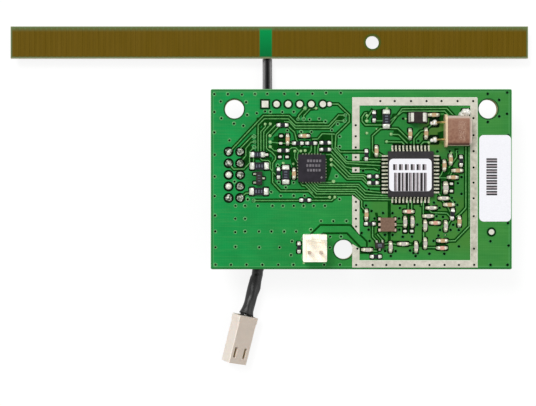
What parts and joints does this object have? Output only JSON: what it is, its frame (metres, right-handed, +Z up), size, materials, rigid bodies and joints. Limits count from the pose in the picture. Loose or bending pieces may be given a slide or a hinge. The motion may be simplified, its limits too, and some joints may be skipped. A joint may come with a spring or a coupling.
{
  "type": "alarm radio module",
  "caption": "Radio circuit board for an alarm panel, on a pin socket, with a dipole antenna strip on a short coaxial lead that ends in a small plug.",
  "frame": {"origin": "middle of the board and antenna strip together, on the surface that they lie on", "axes": "+X along the antenna strip, +Y from the board to the strip, +Z up from the surface"},
  "size_m": [0.117, 0.0766, 0.0175],
  "materials": {
    "board_laminate": "green solder mask over copper, glossy",
    "tinned_copper": "tinned, slightly uneven",
    "solder": "bright solder",
    "label_paper": "matte white label",
    "chip_moulding": "black moulding compound",
    "lead_tin": "tin-plated leads",
    "can_metal": "drawn nickel-plated can",
    "base_metal": "plated base, pale",
    "filter_lid": "ceramic package",
    "gold_pads": "gold-plated pads",
    "choke_moulding": "black moulded resin",
    "resistor_glass": "black glass coat",
    "capacitor_tan": "tan ceramic",
    "capacitor_grey": "grey ceramic",
    "coil_pink": "pink-grey ceramic",
    "socket_plastic": "black moulded plastic",
    "contact_metal": "plated spring contacts",
    "header_nylon": "cream-white nylon",
    "antenna_laminate": "green solder mask, cream laminate edges",
    "antenna_copper": "copper lines under green mask",
    "cable_jacket": "glossy black jacket",
    "sleeve_black": "black shrunk sleeve",
    "cable_white": "clear-white insulation",
    "cable_copper": "bare copper",
    "plug_nylon": "beige nylon"
  },
  "bodies": {
    "root": {"circuit_board": "board_laminate", "shield_land": "tinned_copper", "board_label": "label_paper", "radio_chip_body": "chip_moulding", "radio_chip_leads": "lead_tin", "radio_chip_label": "label_paper", "controller_chip_body": "chip_moulding", "controller_chip_pads": "lead_tin", "crystal_can": "can_metal", "crystal_base": "base_metal", "crystal_leads": "lead_tin", "crystal_solder": "solder", "saw_filter_body": "filter_lid", "saw_filter_pads": "gold_pads", "choke_body": "choke_moulding", "choke_ends": "lead_tin", "transistor_bodies": "chip_moulding", "transistor_leads": "lead_tin", "large_resistor_bodies": "resistor_glass", "large_resistor_ends": "solder", "resistor_bodies": "resistor_glass", "resistor_ends": "solder", "capacitor_bodies": "capacitor_tan", "capacitor_ends": "solder", "pale_capacitor_bodies": "capacitor_grey", "pale_capacitor_ends": "solder", "rf_coil_bodies": "coil_pink", "rf_coil_ends": "solder", "tinned_pads": "tinned_copper", "spare_row_pads": "solder", "socket_body": "socket_plastic", "socket_contacts": "contact_metal", "solder_joints": "solder", "header_body": "header_nylon", "header_pins": "lead_tin", "header_solder": "solder", "antenna_board": "antenna_laminate", "antenna_winding_left": "antenna_copper", "antenna_winding_right": "antenna_copper", "antenna_solder": "solder", "coax_braid": "cable_copper", "coax_dielectric": "cable_white", "coax_core": "cable_copper", "coax_jacket": "cable_jacket", "heat_shrink_sleeve": "sleeve_black", "lead_wires": "cable_jacket", "plug_housing": "plug_nylon", "plug_contacts": "contact_metal"}
  },
  "joints": []
}
